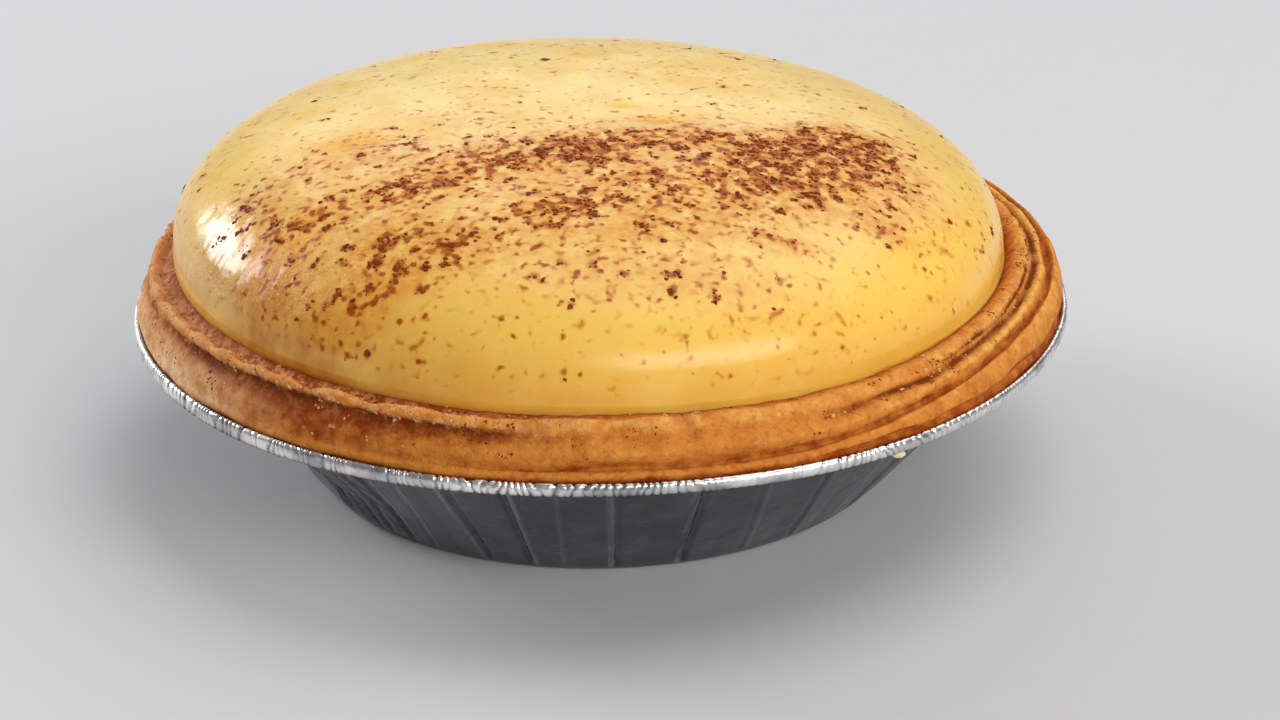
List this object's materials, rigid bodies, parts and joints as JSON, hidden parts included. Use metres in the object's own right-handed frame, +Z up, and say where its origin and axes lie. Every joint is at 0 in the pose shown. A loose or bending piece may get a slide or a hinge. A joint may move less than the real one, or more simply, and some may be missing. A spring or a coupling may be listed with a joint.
{
  "type": "egg custard tart",
  "caption": "Baked custard tart with a tall set custard dome, a shortcrust pastry case and the pressed foil tin it was baked in.",
  "frame": {"origin": "centre of the foil tin's flat base, on the surface it stands on", "axes": "+Z up through the tin's axis; -Y is the front of the tart, +X its right side, where the pastry shows two layers"},
  "size_m": [0.116, 0.116, 0.045],
  "materials": {
    "foil": "thin bright pressed foil with pleats, creases and a crimped rolled rim",
    "pastry": "sandy baked shortcrust, golden on the right, browner in the grooves, floury on the left",
    "custard": "smooth glossy set egg custard with a soft sheen, dusted with ground spice",
    "spice": "fine ground spice dusted over the custard in a loose band, dry dark brown specks"
  },
  "bodies": {
    "root": {"foil_tin": "foil", "crust": "pastry", "custard": "custard"}
  },
  "joints": []
}
